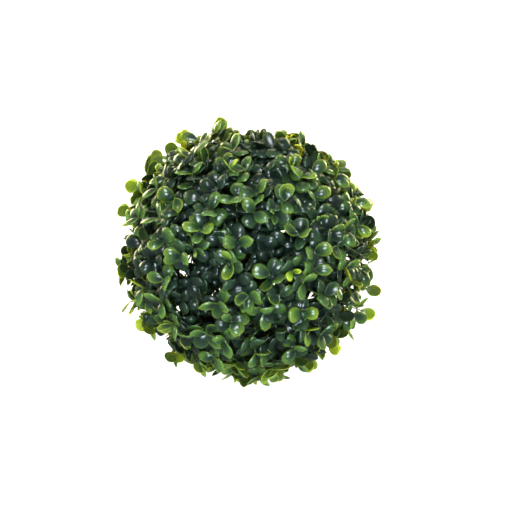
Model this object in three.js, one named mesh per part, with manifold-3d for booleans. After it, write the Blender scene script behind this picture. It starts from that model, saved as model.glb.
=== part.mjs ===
// An artificial box topiary ball. Sprays of moulded plastic leaves plug into the sockets of a
// lattice core, which snaps together from an upper and a lower half. A short stem with a flat
// foot carries the core from below and is hidden inside the ball.
//
// Units are millimetres and +Z is up. The origin is the middle of the stem's flat foot, on the
// ground. The leaves here are larger and fewer than on the real ball, which has about six times
// as many of two thirds the length.
import * as THREE from "three";
import { mergeVertices } from "three/addons/utils/BufferGeometryUtils.js";
import Module from "manifold-3d";

const rad = THREE.MathUtils.degToRad;

// Driving dimensions
const BALL_RADIUS = 100; // to the general outline of the leaves
const CENTRE_HEIGHT = 100; // of the ball above the ground
const CORE_RADIUS = 68; // to the middle of the lattice's ribs
const RIB = 3.2; // side of a rib's square section
const GAP = 0.3; // between pieces that touch
const FLATNESS = 0.02; // how far a face may move to need fewer triangles

// Rows of sockets round each half, in degrees: one by its rim and one by its end. The upper half
// has one more socket at its pole, where the lower half has the collar that the stem goes through.
const UPPER_ROWS = {
  middle: { latitude: 18, count: 10, turn: 0 },
  end: { latitude: 53, count: 5, turn: 18 },
};
const LOWER_ROWS = {
  middle: { latitude: -19, count: 10, turn: 18 },
  end: { latitude: -58, count: 5, turn: 36 },
};

// Sockets and pegs
const SOCKET_SIDE = 8.4; // of a socket's square boss
const CROWN_SIDE = 12.6; // of the boss at the upper pole, where five bars meet
const SOCKET_IN = CORE_RADIUS - RIB / 2 - 1;
const SOCKET_OUT = CORE_RADIUS + 6;
const PEG_SIDE = 4; // of a spray's square peg
const PEG_DEPTH = 6; // of the peg in its socket
const FLANGE_SIDE = 6.4;
const FLANGE_HEIGHT = 2.5;

// Hidden stem
const FOOT_RADIUS = 10;
const FOOT_EDGE = 1.2; // height of the foot's upright edge
const STEM_RADIUS = 6; // where it passes the collar
const STEM_TIP_RADIUS = 4.8;
const SHOULDER_RADIUS = 9;
const SHOULDER_HEIGHT = 3;
const FLARE_TOP = 12; // height at which the foot's flare has become the stem
const STEM_TOP = 62;
const STEM_SIDES = 14;
const COLLAR_RADIUS = 11;
const COLLAR_HEIGHT = 8;
const COLLAR_BOTTOM = CENTRE_HEIGHT - CORE_RADIUS - COLLAR_HEIGHT / 2;
const POLE_SHARE = 0.88; // of the way to a pole at which the bars end, inside its boss or collar

// Foliage
const STEMS_PER_SPRAY = 4;
const SPREAD = [14, 18]; // least and greatest angle in degrees from a spray's middle to a stem's tip
const TIP_RADIUS = [84, 95]; // least and greatest distance of a stem's tip from the ball's middle
const STEM_ROOT_RADIUS = 1.5;
const STEM_END_RADIUS = 1.2;
const STEM_SPACING = 1.6; // of the stems' roots from the middle of the flange
const STEM_SINK = 0.5; // of the middle of a stem's root below the flange's face
const LEAF_LENGTH = 22.5;
const LEAF_WIDTH = 19;
const LEAF_DOME = 2.4; // height of a leaf's rounded upper side above its flat under side
const LEAF_SINK = 0.4; // of a leaf's foot beyond its stem's middle line
const LEAF_SCALE = [0.85, 1];
// Where the leaves stand on a stem, as a share of its length, and how far they lean from the
// upright there
const NODES = [
  { at: 0.96, lean: rad(63) },
  { at: 0.8, lean: rad(70) },
  { at: 0.7, lean: rad(76) },
  { at: 0.5, lean: rad(60) },
];
const LEAN_RANGE = rad(16); // of the leaves' lean
const LEAF_TRIES = 24; // bearings about its stem that a leaf can take
const TOUCH = 0.15; // mm3 that a leaf may share with its neighbours, at their feet
const MASS_CLEARANCE = GAP / 2 + 0.1; // of a spray from the plane between it and the next
const TIP_CLEARANCE = 2; // of a stem's tip from that plane
const GROUND_CLEARANCE = 0.4;
const STEM_CLEARANCE = 1; // of the leaves from the hidden stem
const CORE_CLEARANCE = 1.5; // of the leaves from the sockets' ends
const LONGEST_REACH = BALL_RADIUS + 6; // of any leaf from the ball's middle

const CENTRE = new THREE.Vector3(0, 0, CENTRE_HEIGHT);
const UP = new THREE.Vector3(0, 0, 1);

const wasm = await Module();
wasm.setup();

// A repeatable stream of numbers from 0 to 1
function stream(seed) {
  let state = Math.imul(seed, 2654435761) >>> 0;
  const next = () => {
    state = (Math.imul(state, 1664525) + 1013904223) >>> 0;
    return state / 4294967296;
  };
  next();
  next();
  return next;
}

// The unit vector at a latitude and longitude on the ball, in degrees
function direction(latitude, longitude) {
  const [la, lo] = [rad(latitude), rad(longitude)];
  return new THREE.Vector3(Math.cos(la) * Math.cos(lo), Math.cos(la) * Math.sin(lo), Math.sin(la));
}

// Two unit vectors square to a direction and to each other
function across(d) {
  const side = Math.abs(d.z) > 0.99 ? new THREE.Vector3(1, 0, 0) : UP.clone().cross(d).normalize();
  return [side, d.clone().cross(side).normalize()];
}

// The direction that leaves d by an angle, towards a bearing about it, in radians
function leaning(d, angle, bearing) {
  const [a, b] = across(d);
  const sideways = a.multiplyScalar(Math.cos(bearing)).addScaledVector(b, Math.sin(bearing));
  return d.clone().multiplyScalar(Math.cos(angle)).addScaledVector(sideways, Math.sin(angle));
}

// A closed three.js geometry as a solid
function solid(geometry) {
  const bare = geometry.clone();
  bare.deleteAttribute("normal");
  bare.deleteAttribute("uv");
  const merged = mergeVertices(bare, 1e-4);
  return new wasm.Manifold(
    new wasm.Mesh({
      numProp: 3,
      vertProperties: merged.attributes.position.array,
      triVerts: new Uint32Array(merged.index.array),
    }),
  );
}

// A solid as a named mesh of one body: its largest piece, with its flat faces in few triangles
function toMesh(name, shape, material) {
  const pieces = shape.decompose().sort((a, b) => b.volume() - a.volume());
  const plain = pieces[0].asOriginal().simplify(FLATNESS);
  const { numProp, vertProperties, triVerts } = plain.getMesh();
  const positions = new Float32Array((vertProperties.length / numProp) * 3);
  for (let i = 0; i < positions.length / 3; i++) {
    positions.set(vertProperties.subarray(i * numProp, i * numProp + 3), i * 3);
  }
  const geometry = new THREE.BufferGeometry();
  geometry.setAttribute("position", new THREE.BufferAttribute(positions, 3));
  geometry.setIndex(new THREE.BufferAttribute(triVerts, 1));
  geometry.computeVertexNormals();
  const mesh = new THREE.Mesh(geometry, material);
  mesh.name = name;
  return mesh;
}

// A square bar between two points
function bar(from, to, side) {
  const along = to.clone().sub(from);
  const geometry = new THREE.BoxGeometry(side, along.length(), side);
  const turn = new THREE.Quaternion().setFromUnitVectors(new THREE.Vector3(0, 1, 0), along.normalize());
  geometry.applyQuaternion(turn).translate(...from.clone().add(to).multiplyScalar(0.5));
  return solid(geometry);
}

// A square bar along a direction from the ball's middle, between two distances from it
function spoke(d, inner, outer, side) {
  return bar(CENTRE.clone().addScaledVector(d, inner), CENTRE.clone().addScaledVector(d, outer), side);
}

// A level disc on the ball's axis, with as many sides as the stem
function disc(radius, height, middle) {
  const geometry = new THREE.CylinderGeometry(radius, radius, height, STEM_SIDES);
  return solid(geometry.rotateX(Math.PI / 2).rotateZ(Math.PI / 2).translate(0, 0, middle));
}

// A tapering three-sided limb between two points
function limb(root, tip) {
  const along = tip.clone().sub(root);
  const geometry = new THREE.CylinderGeometry(STEM_END_RADIUS, STEM_ROOT_RADIUS, along.length(), 3);
  const turn = new THREE.Quaternion().setFromUnitVectors(new THREE.Vector3(0, 1, 0), along.normalize());
  geometry.applyQuaternion(turn).translate(...root.clone().add(tip).multiplyScalar(0.5));
  return solid(geometry);
}

// A leaf's corners, narrow at its foot and broad at its blunt tip: five round its edge, then the
// top of its upper side. It grows from root along its axis and faces outward.
function leafCorners(root, axis, outward, scale) {
  const side = outward.clone().cross(axis).normalize();
  const face = axis.clone().cross(side);
  const length = LEAF_LENGTH * scale;
  const width = LEAF_WIDTH * scale;
  const dome = LEAF_DOME * scale;
  const at = (x, y, z) =>
    root.clone().addScaledVector(axis, x).addScaledVector(side, y).addScaledVector(face, z);
  return [
    at(-LEAF_SINK, 0, 0),
    at(length * 0.56, width / 2, 0),
    at(length, width * 0.24, 0),
    at(length, -width * 0.24, 0),
    at(length * 0.56, -width / 2, 0),
    at(length * 0.5, 0, dome),
  ];
}

function leafSolid(corners) {
  const geometry = new THREE.BufferGeometry().setFromPoints(corners);
  const top = corners.length - 1;
  const index = [];
  for (let i = 0; i < top; i++) index.push(i, top, (i + 1) % top);
  for (let i = 1; i < top - 1; i++) index.push(0, i, i + 1);
  geometry.setIndex(index);
  return solid(geometry);
}

// A spray keeps to the cone of space that is nearer its socket than any other socket, clear of
// the core, the ground and the hidden stem.
class Space {
  constructor(own, all) {
    this.walls = all.filter((d) => d !== own).map((d) => own.clone().sub(d).normalize());
  }

  depth(point) {
    const p = point.clone().sub(CENTRE);
    return Math.min(...this.walls.map((wall) => wall.dot(p)));
  }

  holds(point) {
    const reach = point.distanceTo(CENTRE);
    const stemRadius = Math.max(flareRadius(point.z), SHOULDER_RADIUS);
    const fromAxis = Math.hypot(point.x, point.y);
    const besideStem = point.z < STEM_TOP && fromAxis < stemRadius + STEM_CLEARANCE;
    return (
      this.depth(point) > MASS_CLEARANCE &&
      reach > SOCKET_OUT + CORE_CLEARANCE &&
      reach < LONGEST_REACH &&
      point.z > GROUND_CLEARANCE &&
      !besideStem
    );
  }
}

// The radius of the hidden stem's foot at a height, which has become the stem's at the flare's top
function flareRadius(height) {
  const share = THREE.MathUtils.clamp((height - FOOT_EDGE) / (FLARE_TOP - FOOT_EDGE), 0, 1);
  return THREE.MathUtils.lerp(FOOT_RADIUS, STEM_RADIUS, Math.sin((share * Math.PI) / 2));
}

// The tips of a spray's stems lie in a rough ring that fills the spray's space.
function stemTip(own, space, k, random) {
  const bearing = ((k + random() * 0.3) * 2 * Math.PI) / STEMS_PER_SPRAY;
  const reach = THREE.MathUtils.lerp(...TIP_RADIUS, random());
  let angle = rad(THREE.MathUtils.lerp(...SPREAD, random()));
  for (;;) {
    const tip = CENTRE.clone().addScaledVector(leaning(own, angle, bearing), reach);
    if (angle < rad(1) || (space.depth(tip) > TIP_CLEARANCE && space.holds(tip))) return tip;
    angle *= 0.9;
  }
}

// A leaf from a point on a stem. Of the turns about the stem that keep it in its space and off its
// neighbours, it takes the one that leaves the most room round its middle.
function fitLeaf(root, lean, space, random, neighbours, middles) {
  const outward = root.clone().sub(CENTRE).normalize();
  const bearing = random() * 2 * Math.PI;
  let best = { room: 0 };
  for (let i = 0; i < LEAF_TRIES; i++) {
    const tryLean = lean + (random() - 0.5) * LEAN_RANGE;
    const axis = leaning(outward, tryLean, bearing + (i * 2 * Math.PI) / LEAF_TRIES);
    const corners = leafCorners(root, axis, outward, THREE.MathUtils.lerp(...LEAF_SCALE, random()));
    const middle = root.clone().addScaledVector(axis, LEAF_LENGTH * 0.55);
    const room = Math.min(...middles.map((m) => m.distanceTo(middle)));
    if (room <= best.room || !corners.slice(1).every((p) => space.holds(p))) continue;
    const leaf = leafSolid(corners);
    if (leaf.intersect(neighbours).volume() < TOUCH) best = { room, leaf, middle };
  }
  return best;
}

// A spray: a peg and flange in its socket, stems that fan out from there, and leaves on each stem
function spray(own, all, seed) {
  const random = stream(seed);
  const space = new Space(own, all);
  const flangeTop = SOCKET_OUT + GAP + FLANGE_HEIGHT;
  const stems = [];
  for (let k = 0; k < STEMS_PER_SPRAY; k++) {
    const tip = stemTip(own, space, k, random);
    const root = CENTRE.clone().addScaledVector(own, flangeTop - STEM_SINK);
    root.add(tip.clone().sub(root).projectOnPlane(own).setLength(STEM_SPACING));
    stems.push({ root, tip });
  }
  const limbs = stems.map(({ root, tip }) => limb(root, tip));
  const leaves = [];
  const middles = [];
  for (const { at, lean } of NODES) {
    stems.forEach(({ root, tip }, k) => {
      const others = wasm.Manifold.union([...limbs.filter((_, j) => j !== k), ...leaves]);
      const { leaf, middle } = fitLeaf(root.clone().lerp(tip, at), lean, space, random, others, middles);
      if (!leaf) return;
      leaves.push(leaf);
      middles.push(middle);
    });
  }
  return wasm.Manifold.union([
    spoke(own, SOCKET_OUT - PEG_DEPTH, flangeTop - FLANGE_HEIGHT / 2, PEG_SIDE),
    spoke(own, SOCKET_OUT + GAP, flangeTop, FLANGE_SIDE),
    ...limbs,
    ...leaves,
  ]);
}

// The directions of the sockets in a row
function socketRow({ latitude, count, turn }) {
  return Array.from({ length: count }, (_, k) => direction(latitude, turn + (k * 360) / count));
}

// Half of the lattice core: a level rim, a bar from it up to each socket of the middle row, two bars
// from there to each socket of the end row, and one on to the pole. Every socket is a bored boss.
// The side is 1 for the upper half and -1 for the lower one.
function coreHalf(side, rows, pole) {
  const middle = socketRow(rows.middle);
  const end = socketRow(rows.end);
  const at = (d) => CENTRE.clone().addScaledVector(d, CORE_RADIUS);
  const rimMiddle = CENTRE_HEIGHT + (side * (GAP + RIB)) / 2;
  const profile = [
    [-1, -1],
    [1, -1],
    [1, 1],
    [-1, 1],
    [-1, -1],
  ].map(([x, y]) => new THREE.Vector2(CORE_RADIUS + (x * RIB) / 2, (y * RIB) / 2));
  const rim = solid(
    new THREE.LatheGeometry(profile, 2 * rows.middle.count)
      .rotateX(Math.PI / 2)
      .rotateZ(rad(rows.middle.turn))
      .translate(0, 0, rimMiddle),
  );
  const belowOnRim = (p) => new THREE.Vector3(p.x, p.y, 0).setLength(CORE_RADIUS).setZ(rimMiddle);
  const nearPole = (d) => at(d.clone().lerp(new THREE.Vector3(0, 0, side), POLE_SHARE).normalize());
  const bars = [
    ...middle.map((d) => bar(at(d), belowOnRim(d), RIB)),
    ...end.flatMap((d, i) => [2 * i, 2 * i + 1].map((j) => bar(at(d), at(middle[j]), RIB))),
    ...end.map((d) => bar(at(d), nearPole(d), RIB)),
  ];
  const sockets = [...middle, ...end];
  const bosses = sockets.map((d) => spoke(d, SOCKET_IN, SOCKET_OUT, SOCKET_SIDE));
  const bores = sockets.map((d) => spoke(d, SOCKET_IN - RIB, SOCKET_OUT + RIB, PEG_SIDE + 2 * GAP));
  return wasm.Manifold.union([rim, pole, ...bars, ...bosses]).subtract(wasm.Manifold.union(bores));
}

// The stem: a flat foot that flares up into a round post, with a shoulder under the core's collar
function stemSolid() {
  const flare = Array.from({ length: 5 }, (_, i) => {
    const height = THREE.MathUtils.lerp(FOOT_EDGE, FLARE_TOP, i / 4);
    return [flareRadius(height), height];
  });
  const shoulderTop = COLLAR_BOTTOM - GAP;
  const profile = [
    [0, 0],
    [FOOT_RADIUS, 0],
    ...flare,
    [STEM_RADIUS, shoulderTop - 2 * SHOULDER_HEIGHT],
    [SHOULDER_RADIUS, shoulderTop - SHOULDER_HEIGHT],
    [SHOULDER_RADIUS, shoulderTop],
    [STEM_RADIUS, shoulderTop],
    [STEM_TIP_RADIUS, STEM_TOP],
    [0, STEM_TOP],
  ].map(([x, y]) => new THREE.Vector2(x, y));
  return solid(new THREE.LatheGeometry(profile, STEM_SIDES).rotateX(Math.PI / 2));
}

// Materials
const leafPlastic = new THREE.MeshStandardMaterial({ color: 0x3f6a34, roughness: 0.38, metalness: 0 });
const corePlastic = new THREE.MeshStandardMaterial({ color: 0x1d2a1e, roughness: 0.6, metalness: 0 });
const stemPlastic = new THREE.MeshStandardMaterial({ color: 0x2a2f26, roughness: 0.55, metalness: 0 });

// The crown's socket is the upper half's pole, and the collar round the stem the lower half's.
const crown = direction(90, 0);
const crownBoss = spoke(crown, SOCKET_IN, SOCKET_OUT, CROWN_SIDE).subtract(
  spoke(crown, SOCKET_IN - RIB, SOCKET_OUT + RIB, PEG_SIDE + 2 * GAP),
);
const collar = disc(COLLAR_RADIUS, COLLAR_HEIGHT, COLLAR_BOTTOM + COLLAR_HEIGHT / 2);
const collarBore = disc(STEM_RADIUS + GAP, 3 * COLLAR_HEIGHT, COLLAR_BOTTOM + COLLAR_HEIGHT / 2);

// The sprays by name, each with the direction of its socket
const sprays = new Map([["spray_crown", crown]]);
for (const [half, rows] of Object.entries({ upper: UPPER_ROWS, lower: LOWER_ROWS })) {
  for (const [row, sockets] of Object.entries(rows)) {
    socketRow(sockets).forEach((d, i) => sprays.set(`spray_${half}_${row}_${i + 1}`, d));
  }
}
const allSockets = [...sprays.values()];

const part = new THREE.Group();
part.add(toMesh("stem", stemSolid(), stemPlastic));
part.add(toMesh("core_upper_half", coreHalf(1, UPPER_ROWS, crownBoss), corePlastic));
part.add(toMesh("core_lower_half", coreHalf(-1, LOWER_ROWS, collar).subtract(collarBore), corePlastic));
for (const [name, own] of sprays) {
  part.add(toMesh(name, spray(own, allSockets, 1 + allSockets.indexOf(own)), leafPlastic));
}

export default part;
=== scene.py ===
"""The looks of an artificial box topiary ball: glossy moulded plastic leaves in sprays that plug into
a split lattice core, on a short hidden stem.

Foliage and plastic parts are worked out in millimetres, in the same frame as the solids, and turned
into metres as their meshes are made. The sprays' stems grow by the same seeded rule as the solids'
and carry on to side twigs with whorls of leaves at their real size.
"""
import math

import bpy
import numpy as np
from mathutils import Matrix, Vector


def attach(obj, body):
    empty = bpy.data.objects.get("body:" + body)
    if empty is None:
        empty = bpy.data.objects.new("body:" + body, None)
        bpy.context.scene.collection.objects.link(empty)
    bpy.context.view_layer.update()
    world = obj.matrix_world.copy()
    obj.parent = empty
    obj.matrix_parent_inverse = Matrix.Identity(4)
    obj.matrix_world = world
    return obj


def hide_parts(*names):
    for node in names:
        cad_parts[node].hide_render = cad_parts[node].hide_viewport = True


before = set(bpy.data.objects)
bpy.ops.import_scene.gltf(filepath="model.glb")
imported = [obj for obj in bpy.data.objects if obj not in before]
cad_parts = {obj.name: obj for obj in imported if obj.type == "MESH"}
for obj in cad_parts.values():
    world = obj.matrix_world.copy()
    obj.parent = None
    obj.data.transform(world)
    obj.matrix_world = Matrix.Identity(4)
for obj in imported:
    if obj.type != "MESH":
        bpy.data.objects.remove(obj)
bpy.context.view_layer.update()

MM = 0.001
SLOT_LEAVES, SLOT_CORE, SLOT_STEM = "leaves", "core", "stem"

# Driving sizes, in millimetres, as the solids have them
BALL_RADIUS = 100.0
CENTRE = np.array([0.0, 0.0, 100.0])
CORE_RADIUS = 68.0
RIB = 3.2
GAP = 0.3
SOCKET_IN = CORE_RADIUS - RIB / 2 - 1
SOCKET_OUT = CORE_RADIUS + 6
FLANGE_HEIGHT = 2.5
FLANGE_LOW = SOCKET_OUT + GAP
FLANGE_TOP = FLANGE_LOW + FLANGE_HEIGHT
PEG_DEPTH = 6.0
FOOT_RADIUS = 10.0
FOOT_EDGE = 1.2
STEM_RADIUS = 6.0
STEM_TIP_RADIUS = 4.8
SHOULDER_RADIUS = 9.0
SHOULDER_HEIGHT = 3.0
FLARE_TOP = 12.0
STEM_TOP = 62.0
COLLAR_RADIUS = 11.0
COLLAR_HEIGHT = 8.0
COLLAR_BOTTOM = CENTRE[2] - CORE_RADIUS - COLLAR_HEIGHT / 2
POLE_SHARE = 0.88

# The same parts' forms where they are rounder than the solids
BORE_RADIUS = 2.3
BOSS_RADIUS, CROWN_RADIUS = 4.3, 6.4  # of a socket's boss, and of the one at the upper pole
PEG_RADIUS, PEG_TIP_RADIUS, PEG_TAPER = 1.95, 1.5, 0.6
FLANGE_RADIUS, FLANGE_LOW_RADIUS, FLANGE_TOP_RADIUS = 3.3, 3.1, 2.7
FLANGE_LOW_EDGE, FLANGE_TOP_EDGE = 0.4, 0.6
CHAMFER = 0.5
COLLAR_CHAMFER = 0.6
FOOT_CHAMFER = 0.4  # also beneath the shoulder
TIP_CHAMFER = 0.8
FLARE_RINGS = 9
SIDES = {"limb": 6, "rib": 10, "peg": 12, "boss": 20, "collar": 36, "stem": 48, "rim": 60}

# Rows of sockets round each half: latitude, count and turn in degrees
ROWS = {
    "upper_middle": (18, 10, 0),
    "upper_end": (53, 5, 18),
    "lower_middle": (-19, 10, 18),
    "lower_end": (-58, 5, 36),
}

# Stems of a spray, by the solids' rule
STEMS_PER_SPRAY = 4
STEM_SHAKE = 0.3  # of the turn from one stem to the next
SPREAD = (14, 18)
SPREAD_STEP = 0.9  # the share of itself that a spread without room shrinks to, step by step
LEAST_SPREAD = 1
TIP_RADIUS = (84, 95)
TIP_CLEARANCE = 2.0
MASS_CLEARANCE = GAP / 2 + 0.1
STEM_SPACING = 1.6
STEM_SINK = 0.5
STEM_CLEARANCE = 1.0
CORE_CLEARANCE = 1.5
GROUND_CLEARANCE = 0.4
LONGEST_REACH = BALL_RADIUS + 6
PROUD_LEAF = 14.0  # how far a leaf may pass the tip of a twig that stands proud

# Twigs
TWIGS = 300  # on the whole ball
TWIG_JITTER = 0.4  # of the spacing of the twigs' tips
TWIG_REACH = (83.5, 98.0)  # of a twig's tip from the ball's middle
TWIG_LEAN = 46.0  # degrees from straight outward, at most
STEM_SHOWN = 0.78  # share of a stem that is drawn as such, before its last twig takes over
STEM_OVERLAP = 0.02  # share of a stem that is hidden in that twig
SIDE_SHARE = (0.4, 0.7)  # of a stem, where its other twigs leave it
TWIG_BEND = 0.5  # share of a twig's length over which its curve turns into line with its axis
STEM_RADII = (1.3, 0.9)
TWIG_RADII = (0.7, 0.45)
STEM_POINTS, TWIG_POINTS, RIB_POINTS = 4, 6, 3  # along a limb
YOUNG_WOOD = 1  # the place of the twigs' plastic, after the stems' one
# A ring that hides the foot, shaken by degrees of latitude and by a share of the turn between twigs
FOOT_TWIGS = {"count": 13, "latitude": -76.5, "reach": 96.0, "shake": (2, 0.4)}
# Twigs where no leaf is near, down to the lowest height of a unit vector. They end deep and bear dark
# leaves, painted shade in the ball's hollows.
GAP_TWIGS = {"tries": 4200, "room": 5.5, "reach": (78.0, 86.0), "lowest": -0.97}
TWIG_SEED, GAP_SEED = 500, 501

# Where the ball dips or swells in its outline from the front: an angle round the outline in degrees
# from the right, the change of a twig's reach in millimetres, and its spread in degrees
RELIEF = [
    (33, -3, 8), (86, -19, 11), (125, 3, 15), (177, -4, 9), (256, -14, 10), (304, 2, 10), (320, -3, 5),
]
RELIEF_DEPTH = 30  # spread in degrees before and behind the outline

# Twigs that stand proud of the outline: an angle round it, the reach of the twig's tip, and the tone of
# its first pair of leaves. Their light tones are partly young leaves' own colour and partly painted glow
# of light from behind.
PROUD_TWIGS = [
    (22, 93.0, 4), (43, 91.0, 4), (62, 86.0, 5), (72, 81.0, 4), (101, 94.5, 5), (119, 95.0, 5),
    (126, 92.5, 4), (134, 94.5, 4), (150, 96.0, 5), (161, 94.0, 4), (172, 88.0, 4), (188, 90.0, 4),
    (200, 83.5, 4), (213, 85.0, 4), (226, 90.0, 4), (237, 87.5, 5), (248, 87.0, 4), (258, 81.0, 5),
    (270, 86.5, 4), (284, 89.0, 4), (299, 93.0, 4), (312, 94.0, 5), (322, 81.0, 4), (333, 98.0, 5),
    (343, 95.5, 3), (356, 86.0, 4),
]
PROUD_LEAN = 0.4  # of the usual lean, for the first leaves of such a twig
PROUD_REST_GLOW = 2  # the change of tone of its other leaves, lighter as painted glow of light from behind

# Twigs with light leaves in front of the ball: the pixel where the photo shows their tips, the angle from
# the right at which their first pair of leaves lies, and the tone of that pair. Their lightness is partly
# young leaves' own colour and partly painted light on leaves that face the lamps.
LIGHT_TWIGS = [
    (230, 169, 20, 5), (194, 176, 0, 3), (177, 200, -50, 4), (201, 230, -20, 4), (162, 219, 30, 3),
    (166, 242, 35, 3), (237, 198, 90, 3), (212, 210, 60, 3), (160, 191, 0, 3), (245, 171, 0, 3),
    (233, 153, 90, 3), (238, 243, 0, 3), (146, 197, 60, 4), (142, 218, 30, 3), (195, 158, 0, 3),
    (299, 179, -10, 4), (256, 194, 0, 3), (284, 202, 90, 3), (312, 197, 0, 3), (254, 213, -45, 3),
    (319, 171, -10, 3), (298, 234, -20, 3), (342, 232, -60, 3), (335, 246, 45, 3), (331, 180, 0, 3),
    (306, 155, 60, 3), (183, 256, 0, 3), (230, 261, 90, 4), (166, 279, 0, 3), (146, 287, 60, 3),
    (164, 300, 90, 3), (218, 303, 0, 3), (208, 332, -40, 3), (225, 339, -60, 3), (232, 320, -45, 3),
    (176, 324, -20, 3), (216, 355, 0, 3), (238, 361, 0, 3), (292, 272, 45, 5), (303, 282, 90, 3),
    (313, 269, 0, 3), (270, 275, -25, 3), (313, 252, 0, 3), (343, 268, 30, 3), (338, 290, 20, 3),
    (302, 311, 0, 4), (304, 328, -60, 4), (266, 310, 90, 3), (256, 350, 80, 3), (293, 346, 50, 3),
    (296, 359, 0, 3), (249, 296, 0, 3), (346, 325, 45, 3),
]
LIGHT_REACH = (92.0, 96.0)
LIGHT_LEAN = 36.0  # degrees from straight outward, at most
PAIR_LOOSE = 0.4  # how loosely a pair keeps to the way it is turned to, as a share of what is usual
LIGHT_REST = 0  # the change of tone of such a twig's other leaves
LIGHT_SPACING = 10.5  # the other twigs' tips keep at least so far from these

# Other twigs' leaves are a tone lighter where they lie within this share of the ball's radius before or
# behind the outline, and a tone darker in front of that, between the light ones: the lighter band is
# painted glow of light from behind, the darker front painted shade.
OUTLINE_DEPTH = 0.45

# Where the photo shows sky between the leaves: a pixel and the opening's radius in pixels
OPENINGS = [
    (346, 287, 1.8), (351, 289, 1.0), (362, 291, 2.2), (363, 263, 1.4), (370, 264, 1.6), (345, 305, 1.8),
    (352, 308, 2.2), (347, 258, 1.0), (266, 338, 1.4), (252, 325, 1.0), (312, 297, 1.0), (191, 259, 1.2),
    (185, 275, 1.2), (134, 282, 1.5), (175, 308, 1.0), (164, 336, 1.4), (132, 232, 1.4),
]
LEAF_HALF_LENGTH, LEAF_HALF_WIDTH = 0.5, 0.45  # of a leaf's length, where it crosses an opening
STEEPEST = 0.2  # the least slope of a leaf to a line of sight that is reckoned with

# The nodes of leaves on a twig, from its tip down: distance from the tip, how many leaves, their least
# and greatest length, their lean from the twig in degrees, and the tones dealt out to them. The tones
# darken down the twig, partly as older leaves' own colour and partly as painted shade deep in the ball.
NODES = [
    {"down": 0.0, "count": (1, 2), "length": (6.0, 8.0), "lean": (12, 45), "tones": (5, 4, 4, 3, 3)},
    {"down": 1.3, "count": (2, 2), "length": (8.5, 11.0), "lean": (35, 70), "tones": (4, 3, 3, 2, 2)},
    {"down": 4.0, "count": (2, 2), "length": (11.5, 14.0), "lean": (52, 88), "tones": (3, 3, 2, 2, 1)},
    {"down": 7.4, "count": (2, 3), "length": (12.5, 15.0), "lean": (58, 94), "tones": (3, 2, 1, 1, 2, 0)},
    {"down": 11.0, "count": (2, 3), "length": (12.5, 15.0), "lean": (58, 96), "tones": (2, 1, 0, 0)},
    {"down": 15.0, "count": (2, 3), "length": (12.0, 14.0), "lean": (45, 95), "tones": (0, 0, 0, 1)},
    {"down": 19.5, "count": (2, 3), "length": (12.0, 14.0), "lean": (45, 95), "tones": (0,)},
]
OLD_SHARE = 0.62  # of the twigs, which start with the large leaves of this node:
OLD_NODE = 2
OLD_LEAN = 0.85  # of the usual lean, for the first leaves of an old twig
STEM_NODES = ((2, 5), (7, 5), (12, 6))  # on a stem: distance from its tip, and the node's row above
INNER_NODE = 5  # from here on down, the leaves are seen little and have few faces
NODE_TRIES = 6
NODE_LOOSE = 0.9  # radians that a node turns from its place
LEAF_LOOSE = 0.3  # of the turn from one leaf of a node to the next
LEAF_ROLL = 1.2  # sideways slope of a leaf's upper side
LEAF_SINK = 0.1  # of a leaf's foot in its twig
LEAF_BREADTH, LEAF_CUP = (0.88, 1.08), (0.7, 1.35)  # least and greatest, of what its kind says
LEAF_MIDDLE = 0.55  # of a leaf's length, from its foot
BESIDE_MIDDLE = 0.5  # of a leaf's length, from its middle to the places at its sides that must fit
MOST_LEAVES, FAR_AWAY = 9000, 1000.0
TONE_SHIFTS = (-1, 0, 0, 1)  # dealt out to the twigs
LIGHTEST_SHIFTED = 4  # the lightest tone that such a change leads to
SHADE_REACH, SHADE_STEP = 91.0, 4.5  # a twig that reaches less is a tone darker at each step, painted shade deep in the ball
LEAST_ROOM = (0.0, 2.0, 3.2, 3.9, 4.2, 4.2, 4.2)  # between the middles of two leaves, by node
OVERHANG = 0.55  # how far a leaf may pass its spray's bounds, as a share of its length

# The photo's framing
PHOTO_SIDE = 505
BALL_PIXELS = 260  # across the ball's general outline in the photo
BALL_MIDDLE = (247.2, 252.4)  # of the ball in the photo
MM_PER_PIXEL = 2 * BALL_RADIUS / BALL_PIXELS
CAMERA_DISTANCE = 1150.0
CAMERA_ELEVATION = 12.0
SENSOR_WIDTH = 36

rad = math.radians
VIEW = np.array([0.0, -math.cos(rad(CAMERA_ELEVATION)), math.sin(rad(CAMERA_ELEVATION))])
NEARLY_UPRIGHT = 0.99  # the least height of a unit vector that counts as upright
SEED_FACTOR, STEP_FACTOR, STEP_ADDED, STATES = 2654435761, 1664525, 1013904223, 2**32


def stream(seed):
    """A repeatable stream of numbers from 0 to 1, the same as the solids' one."""
    state = (seed * SEED_FACTOR) % STATES

    def step():
        nonlocal state
        state = (state * STEP_FACTOR + STEP_ADDED) % STATES
        return state / STATES

    step()
    step()
    return step


def mix(pair, share):
    return pair[0] + (pair[1] - pair[0]) * share


def unit(v):
    return v / np.linalg.norm(v)


def direction(latitude, longitude):
    la, lo = rad(latitude), rad(longitude)
    return np.array([math.cos(la) * math.cos(lo), math.cos(la) * math.sin(lo), math.sin(la)])


def across(d):
    """Two unit vectors square to a direction and to each other."""
    if abs(d[2]) > NEARLY_UPRIGHT:
        side = np.array([1.0, 0.0, 0.0])
    else:
        side = unit(np.cross([0.0, 0.0, 1.0], d))
    return side, unit(np.cross(d, side))


UP = direction(90, 0)


def leaning(d, angle, bearing):
    """The direction that leaves d by an angle, towards a bearing about it, in radians."""
    a, b = across(d)
    return d * math.cos(angle) + (a * math.cos(bearing) + b * math.sin(bearing)) * math.sin(angle)


def bearing_of(v, d):
    """The bearing about a direction d of another one, in radians."""
    a, b = across(d)
    return math.atan2(b.dot(v), a.dot(v))


def flare_radius(height):
    share = min(max((height - FOOT_EDGE) / (FLARE_TOP - FOOT_EDGE), 0), 1)
    return mix((FOOT_RADIUS, STEM_RADIUS), math.sin(share * math.pi / 2))


# Meshes

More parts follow.
